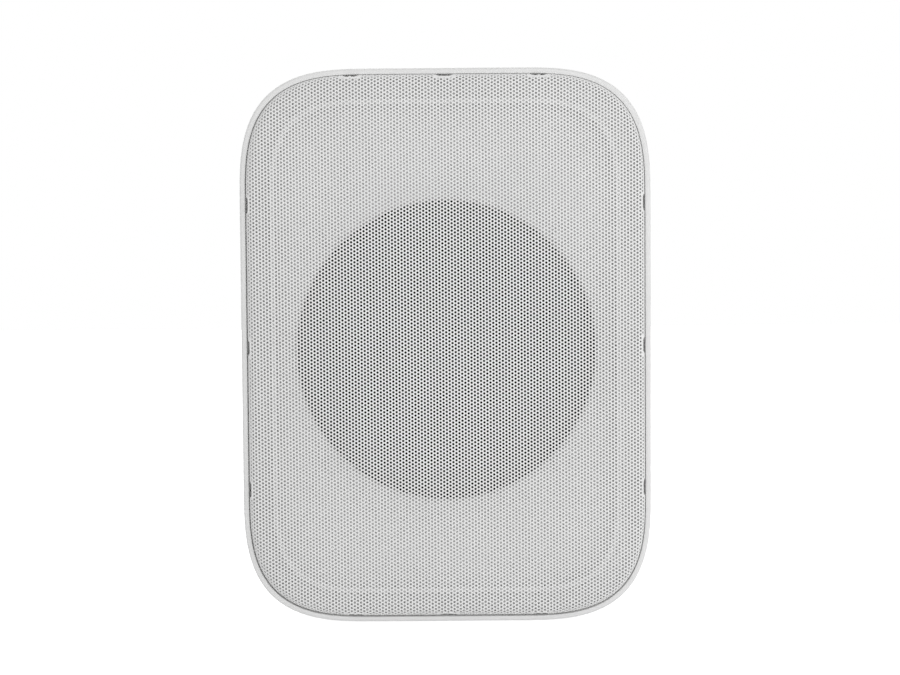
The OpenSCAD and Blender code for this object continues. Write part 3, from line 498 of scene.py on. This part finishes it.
# Front baffle: side, rim, panel, support rib and the round opening as one swept moulding
def make_baffle():
    profile = [(5.6, PANEL_BACK), (5.6, JOINT - 5.7), (5.3, JOINT - 6), (3.9, JOINT - 6), (3.6, JOINT - 5.7),
               (3.6, JOINT), (0.3, JOINT), (0.06, JOINT + 0.06), (0, JOINT + 0.3), (0, JOINT + SIDE - 0.2),
               (0.02, JOINT + SIDE + 0.3)]
    for i in range(9):
        angle = math.pi / 2 * i / 8
        profile.append((RIM_LEAN + RIM_ROUND * (1 - math.cos(angle)),
                        RIM_FACE - RIM_ROUND * (1 - math.sin(angle))))
    profile += [(RIM_WIDTH - 0.3, RIM_FACE), (RIM_WIDTH - 0.09, RIM_FACE - 0.09), (RIM_WIDTH, RIM_FACE - 0.3),
                (RIM_WIDTH, PANEL + 0.8), (RIM_WIDTH + 0.24, PANEL + 0.24), (RIM_WIDTH + 0.8, PANEL),
                (RIB_INSET - 0.5, PANEL), (RIB_INSET, PANEL + 0.5), (RIB_INSET, RIB_TOP - 0.2),
                (RIB_INSET + 0.2, RIB_TOP), (RIB_INSET + RIB_WIDTH - 0.2, RIB_TOP),
                (RIB_INSET + RIB_WIDTH, RIB_TOP - 0.2), (RIB_INSET + RIB_WIDTH, PANEL + 0.5),
                (RIB_INSET + RIB_WIDTH + 0.5, PANEL)]
    rings = [(outline(inset), depth) for inset, depth in profile]
    bevel = OPENING + OPENING_BEVEL
    rings += [(round_ring(bevel + 0.2), PANEL), (round_ring(bevel), PANEL - 0.05),
              (round_ring(OPENING + 0.1), PANEL - OPENING_BEVEL), (round_ring(OPENING),
                                                                   PANEL - OPENING_BEVEL - 0.1),
              (round_ring(OPENING), PANEL_BACK), (outline(5.6), PANEL_BACK)]
    shell = sweep(rings)
    bosses = []
    for x, z, radius, low, high in (
            [(78.5 * math.cos(a), DRIVER_UP + 78.5 * math.sin(a), 3.8, PANEL - 0.4, PANEL + 3.5)
             for a in (math.pi / 4 + k * math.pi / 2 for k in range(4))]
            + [(sx * 74, sz * 112, 4.5, PANEL_BACK - 17, PANEL_BACK + 0.4) for sx in (-1,
                                                                                      1) for sz in (-1, 1)]):
        bpy.ops.object.select_all(action="DESELECT")
        bpy.ops.mesh.primitive_cylinder_add(
            vertices=40, radius=radius * MM, depth=(high - low) * MM, rotation=(math.pi / 2, 0, 0),
            location=(x * MM, -(low + high) / 2 * MM, z * MM))
        boss = bpy.context.object
        settle(boss)
        front = high > PANEL
        pick_faces(boss, lambda c, n: (n.y < -0.9) if front else (n.y > 0.9))
        bpy.ops.mesh.bevel(offset=0.35 * MM, segments=3, affect="EDGES")
        bpy.ops.mesh.select_all(action="DESELECT")
        leave_edit()
        bosses.append(boss)
    face_outwards(shell)
    piece = join([shell] + bosses)
    smooth(piece)
    return hand_over(piece, "moulded_front_baffle", WHITE_MOULDING, ["front_baffle"])


# Grille: perforated stock with every hole, formed over the roll and cut at the tabs
def perforated_stock():
    """One hole and the metal round it, repeated in two staggered rows of holes."""
    bpy.ops.object.select_all(action="DESELECT")
    bpy.ops.mesh.primitive_circle_add(vertices=6, radius=PITCH / math.sqrt(3) * MM, fill_type="NGON",
                                      rotation=(0, 0, math.pi / 6))
    piece = bpy.context.object
    settle(piece)
    hole_flat = HOLE / 2 * math.sqrt(math.pi / (2 * math.sqrt(3)))
    edit(piece)
    bpy.ops.mesh.select_all(action="SELECT")
    bpy.ops.mesh.inset(thickness=(PITCH / 2 - hole_flat) * MM)
    bpy.ops.mesh.delete(type="FACE")
    leave_edit()
    column = PITCH * math.sqrt(3) / 2
    other = copy_at(piece, Matrix.Translation((column * MM, PITCH / 2 * MM, 0)))
    piece = join([piece, other])
    columns = 2 * math.ceil((WIDTH / 2 + 8) / column / 2)
    rows = 2 * math.ceil((HEIGHT / 2 + 8) / PITCH)
    apply_modifier(piece, "ARRAY", count=columns, use_relative_offset=False, use_constant_offset=True,
                   constant_offset_displace=(2 * column * MM, 0, 0))
    apply_modifier(piece, "ARRAY", count=rows, use_relative_offset=False, use_constant_offset=True,
                   constant_offset_displace=(0, PITCH * MM, 0))
    piece.location = (-columns * column * MM, -rows / 2 * PITCH * MM, 0)
    settle(piece)
    return piece, column


def notch_depth(x, z, reach, half=NOTCH):
    """How far a flat point lies inside a tab's notch, across its ends and from its bottom."""
    for t in (-TAB_PITCH_X, 0, TAB_PITCH_X):
        across, bottom = half - abs(x - t), abs(z) - HEIGHT / 2 + reach
        if across > 0 and bottom > 0:
            return across, bottom
    for t in (-TAB_PITCH_Y, 0, TAB_PITCH_Y):
        across, bottom = half - abs(z - t), abs(x) - WIDTH / 2 + reach
        if across > 0 and bottom > 0:
            return across, bottom
    return 0, 0


def out_of_notch(x, z, reach):
    """A flat point, moved to the nearest edge of the notch it lies in."""
    across, bottom = notch_depth(x, z, reach)
    if not across:
        return x, z
    on_side = abs(x) - WIDTH / 2 > abs(z) - HEIGHT / 2
    if across < bottom:
        if on_side:
            t = TAB_PITCH_Y * round(z / TAB_PITCH_Y)
            return x, t + math.copysign(NOTCH, z - t)
        t = TAB_PITCH_X * round(x / TAB_PITCH_X)
        return t + math.copysign(NOTCH, x - t), z
    if on_side:
        return math.copysign(WIDTH / 2 - reach, x), z
    return x, math.copysign(HEIGHT / 2 - reach, z)


def nearest_hole(point, column):
    """The middle of the hole next to a flat point."""
    found = []
    for shift in (0, 1):
        x = (2 * round((point.x / MM / column - shift) / 2) + shift) * column * MM
        z = (round(point.y / MM / PITCH - shift / 2) + shift / 2) * PITCH * MM
        found.append(Vector((x, z, 0)))
    return min(found, key=lambda hole: (point - hole).length)


def formed(x, z, flat_inset, arc, end):
    """Where a point of the flat stock comes to lie once the edge is rolled."""
    inset = inset_of(x, z)
    over = flat_inset - inset
    if over <= 0:
        return x, z, FACE
    over = min(over, end)
    if over < arc:
        angle = over / ROLL
        now = flat_inset - ROLL * math.sin(angle)
        depth = FACE - ROLL * (1 - math.cos(angle))
    else:
        now = flat_inset - ROLL
        depth = FACE - ROLL - (over - arc)
    scale = (REACH - now) / (REACH - inset)
    a = WIDTH / 2 - REACH
    b = HEIGHT / 2 - REACH
    if abs(x) > a:
        x = math.copysign(a + (abs(x) - a) * scale, x)
    if abs(z) > b:
        z = math.copysign(b + (abs(z) - b) * scale, z)
    return x, z, depth


def make_grille():
    stock, column = perforated_stock()
    flat_inset = GRILLE_INSET + ROLL
    arc = ROLL * math.pi / 2
    end = arc + FACE - ROLL - FLANGE_END
    notch_reach = flat_inset - ROLL * math.asin((ROLL - TAB_SET) / ROLL)
    # six faces stand round each hole, in the order of the repeats
    middles = [face.center / MM for face in stock.data.polygons]
    holes = [sum(middles[first:first + 6], Vector()) / 6 for first in range(0, len(middles), 6)]
    keep = []
    for hole in holes:
        over = flat_inset - inset_of(hole.x, hole.y)
        keep.append(over < end and min(notch_depth(hole.x, hole.y, notch_reach)) < PITCH / 2)
    cuts_x = (-WIDTH, 0, WIDTH)
    cuts_z = (-HEIGHT, -HEIGHT / 6, HEIGHT / 6, HEIGHT)
    pieces = []
    for i in range(2):
        for j in range(3):
            part = stock.copy()
            part.data = stock.data.copy()
            bpy.context.collection.objects.link(part)
            edit(part)
            bpy.ops.mesh.select_all(action="DESELECT")
            leave_edit()
            for number, face in enumerate(part.data.polygons):
                hole = holes[number // 6]
                inside = cuts_x[i] <= hole.x < cuts_x[i + 1] and cuts_z[j] <= hole.y < cuts_z[j + 1]
                face.select = not (keep[number // 6] and inside)
            bpy.ops.object.mode_set(mode="EDIT")
            bpy.ops.mesh.delete(type="FACE")
            leave_edit()
            # a hole that a notch would cut into is closed, so the notch has a plain border
            for vertex in part.data.vertices:
                hole = nearest_hole(vertex.co, column)
                if notch_depth(hole.x / MM, hole.y / MM, notch_reach + NOTCH_BORDER, NOTCH + NOTCH_BORDER)[0]:
                    if (vertex.co - hole).length < 0.7 * MM:
                        vertex.co = hole
            edit(part)
            bpy.ops.mesh.select_all(action="SELECT")
            bpy.ops.mesh.remove_doubles(threshold=0.01 * MM)
            leave_edit()
            flat = part.data.uv_layers.new(name="OFBake")
            for loop in part.data.loops:
                point = part.data.vertices[loop.vertex_index].co
                flat.data[loop.index].uv = (0.5 + point.x / UV_SPAN, 0.5 + point.y / UV_SPAN)
            for vertex in part.data.vertices:
                x, z = vertex.co.x / MM, vertex.co.y / MM
                x, z = out_of_notch(x, z, notch_reach)
                x, z, depth = formed(x, z, flat_inset, arc, end)
                vertex.co = ((x + GRILLE_SHIFT[0]) * MM, -depth * MM, (z + GRILLE_SHIFT[1]) * MM)
            apply_modifier(part, "SOLIDIFY", thickness=SHEET * MM, offset=-1.0)
            smooth(part, 50)
            pieces.append(hand_over(part, "grille_sheet_%d%d" % (i + 1, j + 1), POWDER_COAT,
                                    ["grille"]))
    bpy.data.objects.remove(stock)
    return pieces


# Spring tabs of the grille, one bent strip copied round the sheet
def make_tabs():
    top = FACE - SHEET - 0.3
    strip = [(-0.3, top), (0.0, top - 0.6), (0.0, top - 1.5), (0.0, PANEL + 1.2), (0.35, PANEL + 0.2),
             (0.0, PANEL - 1.2), (-0.1, PANEL - 3.0)]
    bpy.ops.object.select_all(action="DESELECT")
    bpy.ops.mesh.primitive_plane_add(size=1)
    tab = bpy.context.object
    pick_edges(tab, lambda p, q: False)
    bpy.ops.mesh.select_all(action="SELECT")
    bpy.ops.mesh.delete(type="ONLY_FACE")
    leave_edit()
    pick_edges(tab, lambda p, q: p.y > 0 or q.y > 0)
    bpy.ops.mesh.delete(type="EDGE")
    leave_edit()
    side = (HEIGHT / 2 - GRILLE_INSET - TAB_SET - SHEET) * MM
    ends = sorted(tab.data.vertices, key=lambda v: v.co.x)
    for vertex, x in zip(ends, (-TAB_WIDTH / 2, TAB_WIDTH / 2)):
        vertex.co = (x * MM, -strip[0][1] * MM, side + strip[0][0] * MM)
    for (inward, depth), (last_inward, last_depth) in zip(strip[1:], strip):
        pick_edges(tab, lambda p, q: abs(p.y + last_depth * MM) < 1e-7 and abs(q.y + last_depth * MM) < 1e-7)
        bpy.ops.mesh.extrude_region_move(TRANSFORM_OT_translate={
            "value": (0, (last_depth - depth) * MM, (inward - last_inward) * MM)})
        leave_edit()
    apply_modifier(tab, "SOLIDIFY", thickness=SHEET * MM, offset=0.0)
    face_outwards(tab)
    apply_modifier(tab, "BEVEL", width=0.12 * MM, segments=2, limit_method="ANGLE",
                   angle_limit=math.radians(40))
    tabs = []
    for turn in (0, 180):
        for t in (-TAB_PITCH_X, 0, TAB_PITCH_X):
            place = Matrix.Rotation(math.radians(turn), 4, "Y") @ Matrix.Translation((t * MM, 0, 0))
            tabs.append(copy_at(tab, place))
    for turn in (90, -90):
        for t in (-TAB_PITCH_Y, 0, TAB_PITCH_Y):
            place = (Matrix.Rotation(math.radians(turn), 4, "Y")
                     @ Matrix.Translation((t * MM, 0, (WIDTH - HEIGHT) / 2 * MM)))
            tabs.append(copy_at(tab, place))
    bpy.data.objects.remove(tab)
    piece = join(tabs)
    smooth(piece)
    return hand_over(piece, "grille_spring_tabs", POWDER_COAT, ["grille"])


# Turned and moulded parts, from merged copies of the solids
def merged_copy(name, join_flat=False):
    """A copy of a node's mesh with its loose triangles merged, and its flat faces joined if asked."""
    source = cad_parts[name]
    piece = bpy.data.objects.new(name + "_finished", source.data.copy())
    bpy.context.collection.objects.link(piece)
    piece.matrix_world = source.matrix_world.copy()
    settle(piece)
    edit(piece)
    bpy.ops.mesh.select_all(action="SELECT")
    bpy.ops.mesh.remove_doubles(threshold=0.003 * MM)
    if join_flat:
        bpy.ops.mesh.dissolve_limited(angle_limit=math.radians(0.3))
    leave_edit()
    return piece


def make_from_solid(name, finish, ease=0.0, body="cabinet"):
    """A merged copy with its flat faces joined and its edges eased."""
    piece = merged_copy(name, join_flat=True)
    if ease:
        apply_modifier(piece, "BEVEL", width=ease * MM, segments=2, limit_method="ANGLE",
                       angle_limit=math.radians(40), use_clamp_overlap=True)
    smooth(piece)
    return hand_over(piece, name + "_finished", finish, [name], body)


def flex_in_sectors(piece, name):
    """Cuts a ring in sectors, each one smooth-shaded as its own piece."""
    middle = Vector((0, 0, DRIVER_UP * MM))
    for i in range(SECTORS):
        sector = piece.copy()
        sector.data = piece.data.copy()
        bpy.context.collection.objects.link(sector)
        for side, turn in ((1, i - 0.5), (-1, i + 0.5)):
            angle = 2 * math.pi * turn / SECTORS
            edit(sector)
            bpy.ops.mesh.select_all(action="SELECT")
            bpy.ops.mesh.bisect(plane_co=middle, plane_no=(-side * math.sin(angle), 0,
                                                           side * math.cos(angle)),
                                use_fill=True, clear_inner=True, threshold=1e-7)
            leave_edit()
        sector.name = "%s_sector_%02d" % (name, i + 1)
        sector.data.name = sector.name
        angle = 2 * math.pi * i / SECTORS
        smooth(sector)
        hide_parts(name)
        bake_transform(sector)
    bpy.data.objects.remove(piece)


def make_flexing(name, finish):
    piece = merged_copy(name)
    piece.data.materials.clear()
    piece.data.materials.append(finish)
    flex_in_sectors(piece, name)


make_baffle()
make_grille()
make_tabs()
make_flexing("surround", SURROUND_RUBBER)
make_flexing("spider", SPIDER_CLOTH)
SOLIDS = [
    ("rear_cabinet", WHITE_MOULDING, "white_moulding", 0.0),
    ("cabinet_seal", FOAM, "foam_rubber", 0.0),
    ("cabinet_screws", ZINC_SCREW, "zinc_screw", 0.0),
    ("driver_gasket", FOAM, "foam_rubber", 0.0),
    ("basket", BLACK_PAINT, "black_basket_paint", 0.0),
    ("top_plate", ZINC_STEEL, "zinc_steel", 0.3),
    ("ring_magnet", FERRITE, "ferrite", 0.0),
    ("yoke", ZINC_STEEL, "zinc_steel", 0.3),
    ("driver_terminal", PHENOLIC, "phenolic_board", 0.0),
    ("driver_tags", BRASS, "tinned_brass", 0.0),
    ("driver_screws", BLACK_SCREW, "black_screw", 0.0),
    ("transformer_core", LAMINATION, "lamination_steel", 0.25),
    ("transformer_bobbin", NYLON, "bobbin_nylon", 0.2),
    ("transformer_winding", TAPE, "winding_tape", 0.0),
    ("transformer_frame", ZINC_STEEL, "zinc_steel", 0.0),
    ("transformer_screws", ZINC_SCREW, "zinc_screw", 0.0),
    ("terminal_block", BLOCK, "block_plastic", 0.25),
    ("clamp_screws", ZINC_SCREW, "zinc_screw", 0.0),
    ("block_tags", BRASS, "tinned_brass", 0.0),
    ("block_screws", ZINC_SCREW, "zinc_screw", 0.0),
    ("line_leads", LEAD_SLEEVE, "lead_sleeve", 0.0),
    ("driver_leads", LEAD_SLEEVE, "lead_sleeve", 0.0),
]
for solid_name, solid_finish, solid_slot, solid_ease in SOLIDS:
    make_from_solid(solid_name, solid_finish, solid_ease)
for solid_name, solid_finish, solid_slot in (
        ("cone", BLACK_PAPER, "black_paper"), ("whizzer_cone", BLACK_PAPER, "black_paper"),
        ("dust_cap", BLACK_PAPER, "black_paper"), ("coil_former", FORMER_PAPER, "former_paper"),
        ("coil_winding", COPPER_WIRE, "copper_wire")):
    make_from_solid(solid_name, solid_finish, body="cone_assembly")
